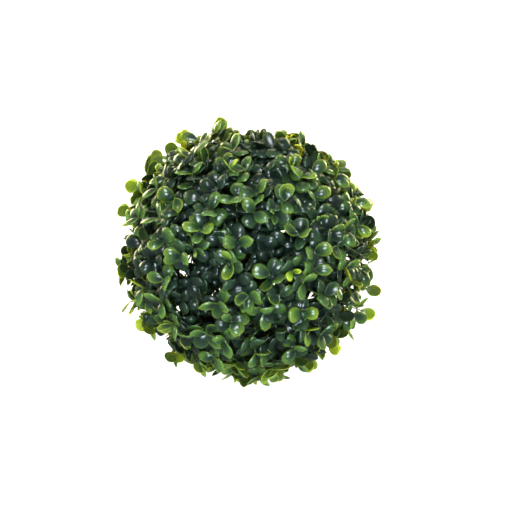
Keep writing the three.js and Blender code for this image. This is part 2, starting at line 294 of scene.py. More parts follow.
class Shape:
    """Points, quads and triangles that are gathered piece by piece, each face with its material."""

    def __init__(self):
        self.points, self.quads, self.tris = [], [], []
        self.quad_materials, self.tri_materials = [], []
        self.count = 0

    def add(self, points, quads, tris, quad_materials, tri_materials):
        self.points.append(points)
        self.quads.append(quads + self.count)
        self.tris.append(tris + self.count)
        self.quad_materials.append(np.broadcast_to(quad_materials, len(quads)))
        self.tri_materials.append(np.broadcast_to(tri_materials, len(tris)))
        self.count += len(points)

    def piece(self, name, materials):
        """The gathered faces as one smooth mesh object, in metres."""
        points = np.concatenate(self.points) * MM
        quads, tris = np.concatenate(self.quads), np.concatenate(self.tris)
        loops = np.concatenate([quads.ravel(), tris.ravel()])
        tri_starts = 4 * len(quads) + 3 * np.arange(len(tris))
        starts = np.concatenate([4 * np.arange(len(quads)), tri_starts])
        faces = np.concatenate(self.quad_materials + self.tri_materials)
        mesh = bpy.data.meshes.new(name)
        mesh.vertices.add(len(points))
        mesh.vertices.foreach_set("co", points.ravel())
        mesh.loops.add(len(loops))
        mesh.loops.foreach_set("vertex_index", loops.astype(np.int32))
        mesh.polygons.add(len(starts))
        mesh.polygons.foreach_set("loop_start", starts.astype(np.int32))
        mesh.polygons.foreach_set("material_index", faces.astype(np.int32))
        mesh.polygons.foreach_set("use_smooth", np.ones(len(starts), bool))
        for material in materials:
            mesh.materials.append(material)
        mesh.update(calc_edges=True)
        piece = bpy.data.objects.new(name, mesh)
        bpy.context.scene.collection.objects.link(piece)
        return piece


def rings_shape(shape, rings, closed, material=0):
    """Skins a row of rings with equal counts of points. A closed row joins its last ring to its first,
    and an open one is capped at both ends."""
    rings = np.asarray(rings)
    n, sides = rings.shape[:2]
    j = np.arange(sides)
    following = (j + 1) % sides
    quads = []
    for i in range(n if closed else n - 1):
        a, b = i * sides, ((i + 1) % n) * sides
        quads.append(np.stack([a + j, a + following, b + following, b + j], axis=1))
    points = rings.reshape(-1, 3)
    tris = np.zeros((0, 3), int)
    if not closed:
        last = (n - 1) * sides
        first_cap = np.stack([np.full(sides, n * sides), following, j], axis=1)
        last_cap = np.stack([np.full(sides, n * sides + 1), last + j, last + following], axis=1)
        points = np.concatenate([points, rings[:1].mean(axis=1), rings[-1:].mean(axis=1)])
        tris = np.concatenate([first_cap, last_cap])
    shape.add(points, np.concatenate(quads), tris, material, material)


def tube(shape, path, radii, sides=SIDES["limb"], material=0):
    """A round limb along a path, with a radius at each of its points."""
    path = np.asarray(path)
    side, _ = across(unit(path[-1] - path[0]))
    angles = np.arange(sides) * 2 * math.pi / sides
    rings = []
    for i, point in enumerate(path):
        along = unit(path[min(i + 1, len(path) - 1)] - path[max(i - 1, 0)])
        a = unit(side - along * side.dot(along))
        b = np.cross(along, a)
        rings.append(point + radii[i] * (np.outer(np.cos(angles), a) + np.outer(np.sin(angles), b)))
    rings_shape(shape, rings, False, material)


def turned(shape, d, profile, sides, closed=False):
    """A part that is round about a direction from the ball's middle. The profile lists radii and
    distances from the middle along that direction."""
    a, b = across(d)
    angles = np.arange(sides) * 2 * math.pi / sides
    circle = np.outer(np.cos(angles), a) + np.outer(np.sin(angles), b)
    rings_shape(shape, [CENTRE + d * distance + circle * radius for radius, distance in profile], closed)


# Leaves. A leaf's own axes are x from its foot to its tip, y across and z out of its upper side,
# all as shares of its length.

RING_CENTRE = 0.1  # how far along the leaf its bands of colour centre
BLADE_CENTRE, BLADE_HALF_LENGTH = 0.58, 0.55  # of the dome
THICKNESS = 0.042
GROOVE_WIDTH, GROOVE_RISE = 0.09, 1.6  # and how fast it deepens from the foot
EDGE_CROWDING = 0.25  # of the edge's points towards the tip
TIP_ANGLE = 0.3  # radians about the tip that a point or notch takes up
EDGE_WIDTH, EDGE_MIDDLE, EDGE_FORWARD = 1.08, 0.9, 0.2  # the blade is widest towards its tip
FOOT_NARROWING, FOOT_LENGTH = 0.4, 0.18  # share of the width, and how far along that goes

# A leaf's faces: how far out its rings lie on its upper side and beneath, as shares of the way to its
# edge, the points of each ring, and the zones of colour inside each of the upper rings
OUTER_FORM = {
    "upper": (0.32, 0.52, 0.70, 0.87, 1.0),
    "under": (0.95, 0.55),
    "segments": 16,
    "zones": (0, 1, 2, 3, 4),
}
INNER_FORM = {"upper": (0.6, 1.0), "under": (0.8,), "segments": 10, "zones": (1, 2)}
UNDER_ZONE = 5  # the zone of colour of a leaf's under side, and the next is beneath its middle
ZONES = UNDER_ZONE + 2

# Half the blade's width, the height of a point at its tip or the depth of a notch there, its dome or
# cup, its bend lengthwise and the depth of its groove
TRAITS = ("width", "point", "notch", "dome", "bend", "groove")
LEAF_KINDS = [dict(zip(TRAITS, values)) for values in [
    (0.41, 0.00, 0.00, 0.24, 0.08, 0.015),
    (0.36, 0.00, 0.00, 0.17, 0.18, 0.02),
    (0.47, 0.00, 0.13, 0.23, 0.06, 0.09),
    (0.40, 0.00, 0.00, -0.13, -0.16, 0.02),
    (0.34, 0.10, 0.00, 0.14, 0.12, 0.04),
    (0.43, 0.00, 0.04, 0.21, 0.20, 0.05),
    (0.24, 0.06, 0.00, 0.06, 0.06, 0.03),
    (0.31, 0.00, 0.00, 0.12, -0.08, 0.02),
]]
KINDS_OF_LARGE = (0, 0, 2, 1, 3, 4, 0, 2, 5, 1, 7)
KINDS_OF_SMALL = (0, 6, 7, 6, 4)


def leaf_outline(kind, segments):
    """A leaf's edge: a round or pointed blade that narrows to its foot, with or without a notch in
    its tip."""
    even = np.arange(segments) * 2 * math.pi / segments
    angle = even - EDGE_CROWDING * np.sin(even)
    from_tip = np.abs((angle + math.pi) % (2 * math.pi) - math.pi)
    near_tip = np.exp(-((from_tip / TIP_ANGLE) ** 2))
    x = (1 + np.cos(angle)) / 2 + (kind["point"] - kind["notch"]) * near_tip
    y = EDGE_WIDTH * kind["width"] * np.sin(angle) * (EDGE_MIDDLE + EDGE_FORWARD * np.cos(angle))
    y = y * (1 - FOOT_NARROWING * np.exp(-((x / FOOT_LENGTH) ** 2)))
    return np.stack([x, y], axis=1)


def leaf_template(kind, form):
    """A leaf's points, quads and triangles, with the zone of colour of each face."""
    edge = leaf_outline(kind, form["segments"])
    middle = np.array([RING_CENTRE, 0.0])

    def ring(share, thickness):
        x, y = (middle + (edge - middle) * share).T
        return np.column_stack([x, y, surface(kind, x, y) - thickness])

    rings = [ring(share, 0.0) for share in form["upper"]]
    rings += [ring(share, THICKNESS) for share in form["under"]]
    centre_height = surface(kind, middle[:1], middle[1:])[0]
    centres = [[*middle, centre_height], [*middle, centre_height - THICKNESS]]
    points = np.concatenate([*rings, centres])
    n = form["segments"]
    j = np.arange(n)
    following = (j + 1) % n
    quads, quad_zones = [], []
    under = [UNDER_ZONE] + [UNDER_ZONE + 1] * (len(form["under"]) - 1)
    zones = [*form["zones"], *under]
    for i in range(len(rings) - 1):
        a, b = i * n, (i + 1) * n
        quads.append(np.stack([a + following, a + j, b + j, b + following], axis=1))
        quad_zones += [zones[i + 1]] * n
    last = (len(rings) - 1) * n
    upper_middle = np.stack([np.full(n, len(rings) * n), j, following], axis=1)
    under_middle = np.stack([np.full(n, len(rings) * n + 1), last + following, last + j], axis=1)
    tris = np.concatenate([upper_middle, under_middle])
    tri_zones = np.repeat([form["zones"][0], UNDER_ZONE + 1], n)
    return points, np.concatenate(quads), tris, np.array(quad_zones), tri_zones


def surface(kind, x, y):
    """The height of a leaf's upper side: a dome or a cup on the blade, bent lengthwise, with a
    groove along its middle."""
    from_middle = ((x - BLADE_CENTRE) / BLADE_HALF_LENGTH) ** 2 + (y / kind["width"]) ** 2
    groove = kind["groove"] * np.exp(-((y / GROOVE_WIDTH) ** 2)) * np.clip(x * GROOVE_RISE, 0, 1)
    return kind["dome"] * (1 - from_middle) - kind["bend"] * x**2 - groove


TEMPLATES = {
    inner: [leaf_template(kind, INNER_FORM if inner else OUTER_FORM) for kind in LEAF_KINDS]
    for inner in (False, True)
}


def placed(leaf):
    """The points of a leaf's template, set at its foot, along its axis, facing outward."""
    points = TEMPLATES[leaf["inner"]][leaf["kind"]][0]
    axis = leaf["axis"]
    side = unit(np.cross(leaf["out"], axis))
    face = np.cross(axis, side)
    scale = np.array([1.0, leaf["breadth"], leaf["cup"]]) * leaf["length"]
    return leaf["foot"] + (points * scale) @ np.stack([axis, side, face])


def add_leaf(shape, leaf):
    _, quads, tris, quad_zones, tri_zones = TEMPLATES[leaf["inner"]][leaf["kind"]]
    first = leaf["tone"] * ZONES
    shape.add(placed(leaf), quads, tris, quad_zones + first, tri_zones + first)


# Growth

class Space:
    """The cone of space that is nearer a spray's socket than any other, clear of core and ground."""

    def __init__(self, own, sockets):
        self.walls = np.array([unit(own - d) for d in sockets if d is not own])

    def depth(self, point):
        return (self.walls @ (point - CENTRE)).min()

    def holds(self, point, depth=MASS_CLEARANCE, longest=LONGEST_REACH):
        reach = np.linalg.norm(point - CENTRE)
        stem_radius = max(flare_radius(point[2]), SHOULDER_RADIUS)
        beside_stem = point[2] < STEM_TOP and math.hypot(*point[:2]) < stem_radius + STEM_CLEARANCE
        return (
            self.depth(point) > depth
            and SOCKET_OUT + CORE_CLEARANCE < reach < longest
            and point[2] > GROUND_CLEARANCE
            and not beside_stem
        )


def socket_row(row):
    latitude, count, turn = ROWS[row]
    return [direction(latitude, turn + k * 360 / count) for k in range(count)]


def stem_tip(own, space, k, random):
    bearing = (k + random() * STEM_SHAKE) * 2 * math.pi / STEMS_PER_SPRAY
    reach = mix(TIP_RADIUS, random())
    angle = rad(mix(SPREAD, random()))
    while True:
        tip = CENTRE + leaning(own, angle, bearing) * reach
        if angle < rad(LEAST_SPREAD) or (space.depth(tip) > TIP_CLEARANCE and space.holds(tip)):
            return tip
        angle *= SPREAD_STEP


def outline_direction(angle):
    """The direction of a place on the ball's outline, as seen from the photo's angle of view."""
    a, up = rad(angle), rad(CAMERA_ELEVATION)
    return np.array([math.cos(a), math.sin(a) * math.sin(up), math.sin(a) * math.cos(up)])


def relief(d):
    """How far the ball swells out in a direction."""
    right, up = d.dot(outline_direction(0)), d.dot(outline_direction(90))
    round_outline = math.degrees(math.atan2(up, right))
    depth = math.degrees(math.asin(d.dot(VIEW)))
    swell = 0.0
    for angle, change, spread in RELIEF:
        off = (round_outline - angle + 180) % 360 - 180
        swell += change * math.exp(-((off / spread) ** 2) - (depth / RELIEF_DEPTH) ** 2)
    return swell


def spiral(count):
    """Directions spread evenly over the ball in a golden spiral."""
    directions = []
    for k in range(count):
        height = 1 - (2 * k + 1) / count
        turn = k * math.pi * (3 - math.sqrt(5))
        level = math.sqrt(1 - height * height)
        directions.append(np.array([level * math.cos(turn), level * math.sin(turn), height]))
    return directions


def shade(reach):
    """The change of tone of a twig's leaves, painted shade: the deeper it ends, the darker they are."""
    return min(0, round((reach - SHADE_REACH) / SHADE_STEP))


def painted_glow_and_shade(depth):
    """The change of tone of a twig's leaves by how far it is before the outline: lighter near the
    outline, painted glow of light from behind, and darker in front, painted shade between the light
    twigs.
    """
    if depth > OUTLINE_DEPTH:
        return -1
    return 1 if depth > -OUTLINE_DEPTH else 0


def off_middle(across_photo, down_photo):
    """How far a pixel of the photo is from the ball's middle, level with it, in millimetres."""
    right, up = across_photo - BALL_MIDDLE[0], BALL_MIDDLE[1] - down_photo
    return (outline_direction(0) * right + outline_direction(90) * up) * MM_PER_PIXEL


CAMERA = CENTRE + VIEW * CAMERA_DISTANCE + off_middle(PHOTO_SIDE / 2, PHOTO_SIDE / 2)


def front_direction(across_photo, down_photo, reach):
    """The direction of a place on the front of the ball that the photo shows at a pixel."""
    aside = off_middle(across_photo, down_photo) / reach
    depth = math.sqrt(max(1 - aside.dot(aside), 0))
    nearer = 1 - depth * reach / CAMERA_DISTANCE
    return unit(aside * nearer + VIEW * depth)


def opening(across_photo, down_photo, radius):
    """A line of sight through a pixel, as a point level with the ball's middle and the direction to
    the camera, and the radius about it that stays clear of leaves."""
    point = CENTRE + off_middle(across_photo, down_photo)
    return point, unit(CAMERA - point), radius * MM_PER_PIXEL


def closes(leaf, point, sight, radius):
    """Whether a leaf lies across an opening."""
    side = unit(np.cross(leaf["out"], leaf["axis"]))
    face = np.cross(leaf["axis"], side)
    slope = face.dot(sight)
    if abs(slope) < STEEPEST:
        slope = math.copysign(STEEPEST, slope)
    from_foot = point - leaf["foot"]
    hit = (from_foot - sight * face.dot(from_foot) / slope) / leaf["length"]
    margin = radius / leaf["length"]
    along = (hit.dot(leaf["axis"]) - LEAF_HALF_LENGTH) / (LEAF_HALF_LENGTH + margin)
    return math.hypot(along, hit.dot(side) / (LEAF_HALF_WIDTH + margin)) < 1


def twig_end(towards, reach, shift, habit="", pair=None, tone=None):
    """A twig's tip: its direction and reach, and its leaves' change of tone. Some have a habit of
    their own, and a first pair of leaves that is turned to a direction and has a tone of its own."""
    return {
        "towards": towards, "reach": reach, "shift": shift, "habit": habit, "pair": pair, "tone": tone,
    }


def twig_ends():
    """The twigs' tips: first the light ones and those that stand proud, then the others, spread
    evenly over the rest of the ball and shaken, with a ring about the foot."""
    random = stream(TWIG_SEED)
    ends = []
    for across_photo, down_photo, angle, tone in LIGHT_TWIGS:
        reach = mix(LIGHT_REACH, random())
        d = front_direction(across_photo, down_photo, reach)
        ends.append(twig_end(d, reach, LIGHT_REST, "light", outline_direction(angle), tone))
    light = np.array([end["towards"] for end in ends])
    for angle, reach, tone in PROUD_TWIGS:
        # Proud twigs' leaves are lightened at the outline, painted glow of light from behind.
        ends.append(twig_end(outline_direction(angle), reach, PROUD_REST_GLOW, "proud", VIEW, tone))
    spacing = math.sqrt(4 * math.pi / TWIGS)
    for d in spiral(TWIGS):
        shaken = leaning(d, spacing * TWIG_JITTER * math.sqrt(random()), random() * 2 * math.pi)
        reach = mix(TWIG_REACH, random()) + relief(shaken)
        if np.linalg.norm(light - shaken, axis=1).min() * reach > LIGHT_SPACING:
            # Plain twigs' leaves darken with less reach and in front between the light twigs, painted
            # shade, and lighten near the outline, painted glow of light from behind.
            ends.append(twig_end(shaken, reach, shade(reach) + painted_glow_and_shade(shaken.dot(VIEW))))
    count, (latitude_shake, turn_shake) = FOOT_TWIGS["count"], FOOT_TWIGS["shake"]
    for k in range(count):
        latitude = FOOT_TWIGS["latitude"] + latitude_shake * random()
        d = direction(latitude, (k + turn_shake * random()) * 360 / count)
        ends.append(twig_end(d, FOOT_TWIGS["reach"] + relief(d) / 2, 0))
    return ends


def bent(root, tip, end_axis):
    """A curve from root to tip that arrives along an axis."""
    control = tip - end_axis * np.linalg.norm(tip - root) * TWIG_BEND
    t = np.linspace(0, 1, TWIG_POINTS)[:, None]
    return root * (1 - t) ** 2 + control * 2 * t * (1 - t) + tip * t**2


OPEN_LINES = [opening(*spot) for spot in OPENINGS]


class Spray:
    """A spray's stems, twigs and leaves."""

    def __init__(self, name, own, sockets, seed):
        self.name, self.own = name, own
        self.random = stream(seed)
        self.space = Space(own, sockets)
        self.stems, self.twigs, self.leaves = [], [], []
        self.led = set()  # the stems that carry on to a twig
        self.longest = LONGEST_REACH
        for k in range(STEMS_PER_SPRAY):
            tip = stem_tip(own, self.space, k, self.random)
            root = CENTRE + own * (FLANGE_TOP - STEM_SINK)
            sideways = tip - root - own * (tip - root).dot(own)
            self.stems.append((root + unit(sideways) * STEM_SPACING, tip))

    def grow(self, end, crowd):
        """A twig to a given end, with its leaves. Each stem carries on to the first twig that it is
        nearest to, and the others leave it lower down."""
        random = self.random
        nearest = int(np.argmax([unit(tip - CENTRE).dot(end["towards"]) for _, tip in self.stems]))
        root, stem_end = self.stems[nearest]
        share = mix(SIDE_SHARE, random()) if nearest in self.led else STEM_SHOWN
        self.led.add(nearest)
        tip = CENTRE + end["towards"] * end["reach"]
        lean = {"proud": 0.0, "light": LIGHT_LEAN}.get(end["habit"], TWIG_LEAN)
        axis = leaning(end["towards"], rad(lean) * random(), random() * 2 * math.pi)
        path = bent(root + (stem_end - root) * share, tip, axis)
        self.twigs.append(path)
        self.longest = end["reach"] + PROUD_LEAF if end["habit"] == "proud" else LONGEST_REACH
        self.add_nodes(path, axis, end, crowd)

    def add_nodes(self, path, axis, end, crowd):
        """Pairs of leaves down a twig, each square to the next, turned to where they have most room.
        Inner twigs have only large dark leaves, painted shade deep in the ball, and a proud twig starts
        with a steep pair."""
        random = self.random
        spans = np.linalg.norm(np.diff(path, axis=0), axis=1)
        from_tip = np.concatenate([np.cumsum(spans[::-1])[::-1], [0]])
        shift = end["shift"]
        if end["pair"] is None:
            shift += TONE_SHIFTS[int(random() * len(TONE_SHIFTS))]
            start = random() * 2 * math.pi
            first = OLD_NODE if random() < OLD_SHARE else 0
        else:
            start = bearing_of(end["pair"], axis) - math.pi / 2
            lightest = end["tone"] == len(TONES) - 1
            first = OLD_NODE - 1 if lightest and end["habit"] == "light" else OLD_NODE
        if end["habit"] == "inner":
            first = INNER_NODE - 1
        first_lean = OLD_LEAN if first else 1
        if end["habit"] == "proud":
            first_lean = PROUD_LEAN
        first_loose = 1 if end["pair"] is None else PAIR_LOOSE
        for level in range(first, len(NODES)):
            down = NODES[level]["down"] - NODES[first]["down"]
            foot = np.array([np.interp(-down, -from_tip, path[:, i]) for i in range(3)])
            start += math.pi / 2
            lean, loose = (first_lean, first_loose) if level == first else (1, 1)
            usual = NODES[level]["tones"]
            tones = [min(max(tone + shift, 0), max(tone, LIGHTEST_SHIFTED)) for tone in usual]
            if level == first and end["tone"] is not None:
                tones = [end["tone"]]
            self.add_node(level, foot, axis, start, {"lean": lean, "loose": loose, "tones": tones}, crowd)

    def add_node(self, level, foot, axis, start, manner, crowd):
        tries = [self.node(level, foot, axis, start, manner) for _ in range(NODE_TRIES)]
        rooms = [crowd.room(np.array([leaf_middle(leaf) for leaf in leaves])).min() for leaves in tries]
        for leaf in tries[int(np.argmax(rooms))]:
            middle = leaf_middle(leaf)
            if crowd.room(middle[None])[0] >= LEAST_ROOM[level] and self.fits(leaf):
                crowd.add(middle)
                self.leaves.append(leaf)

    def dress_stems(self, crowd):
        """Dark leaves low on the stems, painted shade deep in the ball."""
        for root, tip in self.stems:
            axis = unit(tip - root)
            end = root + (tip - root) * STEM_SHOWN
            for down, level in STEM_NODES:
                if down < np.linalg.norm(end - root):
                    turn = self.random() * 2 * math.pi
                    manner = {"lean": 1, "loose": 1, "tones": NODES[level]["tones"]}
                    self.add_node(level, end - axis * down, axis, turn, manner, crowd)

    def node(self, level, foot, axis, start, manner):
        """A node's leaves. Its manner says how far they lean, as a share of what is usual, how
        loosely they keep to their places, and their tones."""
        random = self.random
        node = NODES[level]
        fewest, most = node["count"]
        count = fewest + int(random() * (most - fewest + 1))
        turn = start + NODE_LOOSE * manner["loose"] * (random() - 0.5)
        kinds = KINDS_OF_SMALL if level < OLD_NODE else KINDS_OF_LARGE
        leaves = []
        for k in range(count):
            place = k + LEAF_LOOSE * manner["loose"] * (random() - 0.5)
            bearing = turn + place * 2 * math.pi / count
            leaf_axis = leaning(axis, rad(mix(node["lean"], random())) * manner["lean"], bearing)
            roll = LEAF_ROLL * manner["loose"] * (random() - 0.5)
            out = unit(axis + np.cross(leaf_axis, axis) * roll)
            leaves.append({
                "foot": foot - leaf_axis * LEAF_SINK,
                "axis": leaf_axis,
                "out": out,
                "length": mix(node["length"], random()),
                "breadth": mix(LEAF_BREADTH, random()),
                "cup": mix(LEAF_CUP, random()),
                "kind": kinds[int(random() * len(kinds))],
                "tone": manner["tones"][int(random() * len(manner["tones"]))],
                "inner": level >= INNER_NODE,
            })
        return leaves

    def fits(self, leaf):
        """Whether a leaf keeps near to the spray's space and within the ball's reach."""
        tip = leaf["foot"] + leaf["axis"] * leaf["length"]
        side = unit(np.cross(leaf["out"], leaf["axis"])) * leaf["length"] * BESIDE_MIDDLE
        corners = [tip, leaf_middle(leaf) + side, leaf_middle(leaf) - side]
        if leaf["foot"][2] < leaf["length"] and placed(leaf)[:, 2].min() < GROUND_CLEARANCE:
            return False
        if any(closes(leaf, *line) for line in OPEN_LINES):
            return False
        depth = -OVERHANG * leaf["length"]
        return all(self.space.holds(p, depth, self.longest) for p in corners)


def leaf_middle(leaf):
    return leaf["foot"] + leaf["axis"] * leaf["length"] * LEAF_MIDDLE


class Crowd:
    """The middles of all leaves so far."""

    def __init__(self):
        self.middles = np.full((MOST_LEAVES, 3), FAR_AWAY)
        self.count = 0

    def add(self, middle):
        self.middles[self.count] = middle
        self.count += 1

    def room(self, points):
        """The distance from each point to the nearest leaf's middle."""
        near = self.middles[: max(self.count, 1)]
        return np.sqrt(((points[:, None] - near[None]) ** 2).sum(axis=2).min(axis=1))

    def room_towards(self, d, reach):
        """The room about a direction, with all leaves brought to the same reach."""
        rays = self.middles[: self.count] - CENTRE
        rays /= np.linalg.norm(rays, axis=1)[:, None]
        return np.linalg.norm(rays - d, axis=1).min() * reach


# Materials

def linear(colour):
    """An sRGB colour as Blender's linear one."""
    parts = [c / 12.92 if c <= 0.04045 else ((c + 0.055) / 1.055) ** 2.4 for c in colour]
    return (*parts, 1.0)


IOR = 1.5
COAT_ROUGHNESS = 0.14
GLOW_DEPTH = 2.5  # how far light goes into the plastic, in millimetres
GLOW_SHARES = (1.0, 0.9, 0.15)  # of that, for red, green and blue light
FINE_GRAIN = 0.05  # depth of the skin's ripple, in millimetres
RIPPLE_STRENGTH = 4  # for a grain of a millimetre
RIPPLE = {"Scale": 620, "Detail": 2}
MOTTLE = {"Scale": 260, "Detail": 3}  # of the roughness
SMOOTHER, ROUGHER = 0.06, 0.10  # how far the roughness goes down and up


def noise(nodes, values):
    texture = nodes.new("ShaderNodeTexNoise")
    for name, value in values.items():
        texture.inputs[name].default_value = value
    return texture


def plastic(name, colour, roughness, grain=FINE_GRAIN, glow=0.0, coat=0.0):
    """Moulded plastic of one base colour, with a fine uneven skin."""
    material = bpy.data.materials.new(name)
    material.use_nodes = True
    nodes, links = material.node_tree.nodes, material.node_tree.links
    shader = nodes["Principled BSDF"]
    shader.inputs["Base Color"].default_value = linear(colour)
    shader.inputs["IOR"].default_value = IOR
    shader.inputs["Coat Weight"].default_value = coat
    shader.inputs["Coat Roughness"].default_value = COAT_ROUGHNESS
    shader.inputs["Subsurface Weight"].default_value = glow
    shader.inputs["Subsurface Radius"].default_value = GLOW_SHARES
    shader.inputs["Subsurface Scale"].default_value = GLOW_DEPTH * MM
    place = nodes.new("ShaderNodeTexCoord")
    mottle = noise(nodes, MOTTLE)
    links.new(place.outputs["Object"], mottle.inputs["Vector"])
    uneven = nodes.new("ShaderNodeMapRange")
    uneven.inputs["To Min"].default_value = roughness - SMOOTHER
    uneven.inputs["To Max"].default_value = roughness + ROUGHER
    links.new(mottle.outputs["Fac"], uneven.inputs["Value"])
    links.new(uneven.outputs["Result"], shader.inputs["Roughness"])
    ripple = noise(nodes, RIPPLE)
    links.new(place.outputs["Object"], ripple.inputs["Vector"])
    bump = nodes.new("ShaderNodeBump")
    bump.inputs["Strength"].default_value = grain * RIPPLE_STRENGTH
    bump.inputs["Distance"].default_value = grain * MM
    links.new(ripple.outputs["Fac"], bump.inputs["Height"])
    links.new(bump.outputs["Normal"], shader.inputs["Normal"])
    return material


# A leaf's tones, from old to young: the colour by its foot, at its tip, along its rim and beneath. The
# pale rim is partly the plastic's own edge and partly painted glow of light through the thin edge.
TONES = [
    ((0.05, 0.11, 0.10), (0.11, 0.19, 0.14), (0.16, 0.25, 0.17), (0.15, 0.21, 0.09)),
    ((0.07, 0.15, 0.12), (0.16, 0.27, 0.16), (0.21, 0.33, 0.20), (0.25, 0.32, 0.11)),
    ((0.08, 0.17, 0.13), (0.23, 0.36, 0.16), (0.29, 0.42, 0.20), (0.34, 0.42, 0.11)),
    ((0.09, 0.18, 0.14), (0.30, 0.44, 0.19), (0.37, 0.50, 0.23), (0.42, 0.51, 0.12)),
    ((0.13, 0.24, 0.13), (0.40, 0.53, 0.17), (0.47, 0.59, 0.24), (0.52, 0.60, 0.12)),
    ((0.29, 0.42, 0.12), (0.57, 0.68, 0.15), (0.64, 0.74, 0.28), (0.61, 0.68, 0.12)),
]
UNDER_FOOT_SHARE = 0.55  # of the way from the foot's colour to the under side's, beneath the blade
LEAF_GLOW = (0.2, 0.5, 0.8, 0.9, 0.9, 0.9)  # how much light each tone lets through
ZONE_GLOW = (0.0, 0.3, 0.9, 1.0, 1.0, 1.0, 0.6)  # and each zone, as a share of that
UPPER_COAT = (0.5, 0.7, 0.75, 0.75, 0.75, 0.75)  # the weight of each tone's clear coat
UNDER_COAT = 0.25
UPPER_ROUGHNESS, UNDER_ROUGHNESS = 0.3, 0.4
ZONE_SHARES = (0.0, 0.28, 0.62, 1.0)  # of the way from the foot's colour to the tip's

# The other plastics: colour, roughness, and a grain or clear coat where they have one of their own
OTHER_PLASTICS = {
    "twig_old": {"colour": (0.13, 0.17, 0.09), "roughness": 0.3},
    "twig_young": {"colour": (0.33, 0.42, 0.18), "roughness": 0.28, "coat": 0.5},
    "core_plastic": {"colour": (0.06, 0.11, 0.08), "roughness": 0.45, "grain": 0.12},
    "stem_plastic": {"colour": (0.08, 0.10, 0.07), "roughness": 0.5, "grain": 0.15},
    "floor_paint": {"colour": (0.6, 0.6, 0.6), "roughness": 0.7},
}


def other_plastic(name):
    return plastic(name, **OTHER_PLASTICS[name])


def blend(first, second, share):
    return tuple(mix(pair, share) for pair in zip(first, second))


def leaf_materials():
    materials = []
    for i, (foot, tip, rim, under) in enumerate(TONES):
        colours = [blend(foot, tip, share) for share in ZONE_SHARES]
        colours += [rim, under, blend(foot, under, UNDER_FOOT_SHARE)]
        for j, colour in enumerate(colours):
            beneath = j >= UNDER_ZONE
            roughness = UNDER_ROUGHNESS if beneath else UPPER_ROUGHNESS
            coat = UNDER_COAT if beneath else UPPER_COAT[i]
            glow = LEAF_GLOW[i] * ZONE_GLOW[j]
            materials.append(plastic(f"leaf_tone_{i}_zone_{j}", colour, roughness, glow=glow, coat=coat))
    return materials


# Pieces

def dress(piece, slot, *nodes):
    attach(piece, "root")
    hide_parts(*nodes)


def make_foliage():
    sockets = {"spray_crown": UP}
    for row in ROWS:
        for i, d in enumerate(socket_row(row)):
            sockets[f"spray_{row}_{i + 1}"] = d
    directions = list(sockets.values())
    sprays = [Spray(name, own, directions, 1 + i) for i, (name, own) in enumerate(sockets.items())]
    crowd = Crowd()

    def nearest_spray(d):
        return sprays[int(np.argmax([own.dot(d) for own in directions]))]

    for end in twig_ends():
        nearest_spray(end["towards"]).grow(end, crowd)
    for spray in sprays:
        spray.dress_stems(crowd)
    random = stream(GAP_SEED)
    for d in spiral(GAP_TWIGS["tries"]):
        room = crowd.room_towards(d, TWIG_REACH[0])
        if d[2] > GAP_TWIGS["lowest"] and room > GAP_TWIGS["room"]:
            reach = mix(GAP_TWIGS["reach"], random())
            # Gap twigs end deep, so their reach darkens their leaves: painted shade in the ball's
            # hollows.
            nearest_spray(d).grow(twig_end(d, reach, shade(reach), "inner"), crowd)
    leaf_tones = leaf_materials()
    twig_tones = [other_plastic("twig_old"), other_plastic("twig_young")]
    for group, members in foliage_groups(sprays).items():
        leaves, twigs = Shape(), Shape()
        names = [spray.name for spray in members]
        for spray in members:
            for leaf in spray.leaves:
                add_leaf(leaves, leaf)
            add_wood(twigs, spray)
        dress(leaves.piece(f"leaves_{group}", leaf_tones), SLOT_LEAVES, *names)
        dress(twigs.piece(f"twigs_{group}", twig_tones), SLOT_LEAVES, *names)


def foliage_groups(sprays):
    """Sprays that share a piece: the crown with the row below it, each half of a long row, and the
    lowest row."""
    groups = {}
    for spray in sprays:
        row, _, number = spray.name.removeprefix("spray_").rpartition("_")
        if row in ("", "upper_end"):
            group = "top"
        elif row == "lower_end":
            group = "bottom"
        else:
            half = ROWS[row][1] // 2
            group = f"{row}_{'first' if int(number) <= half else 'second'}"
        groups.setdefault(group, []).append(spray)
    return groups


def add_wood(shape, spray):
    """A spray's peg and flange, its stems and its twigs."""
    peg_tip = SOCKET_OUT - PEG_DEPTH
    turned(shape, spray.own, [
        (PEG_TIP_RADIUS, peg_tip), (PEG_RADIUS, peg_tip + PEG_TAPER), (PEG_RADIUS, FLANGE_LOW),
        (FLANGE_LOW_RADIUS, FLANGE_LOW), (FLANGE_RADIUS, FLANGE_LOW + FLANGE_LOW_EDGE),
        (FLANGE_RADIUS, FLANGE_TOP - FLANGE_TOP_EDGE), (FLANGE_TOP_RADIUS, FLANGE_TOP),
    ], SIDES["peg"])
    for root, tip in spray.stems:
        end = root + (tip - root) * (STEM_SHOWN + STEM_OVERLAP)
        tube(shape, np.linspace(root, end, STEM_POINTS), np.linspace(*STEM_RADII, STEM_POINTS))
    for path in spray.twigs:
        tube(shape, path, np.linspace(*TWIG_RADII, len(path)), material=YOUNG_WOOD)


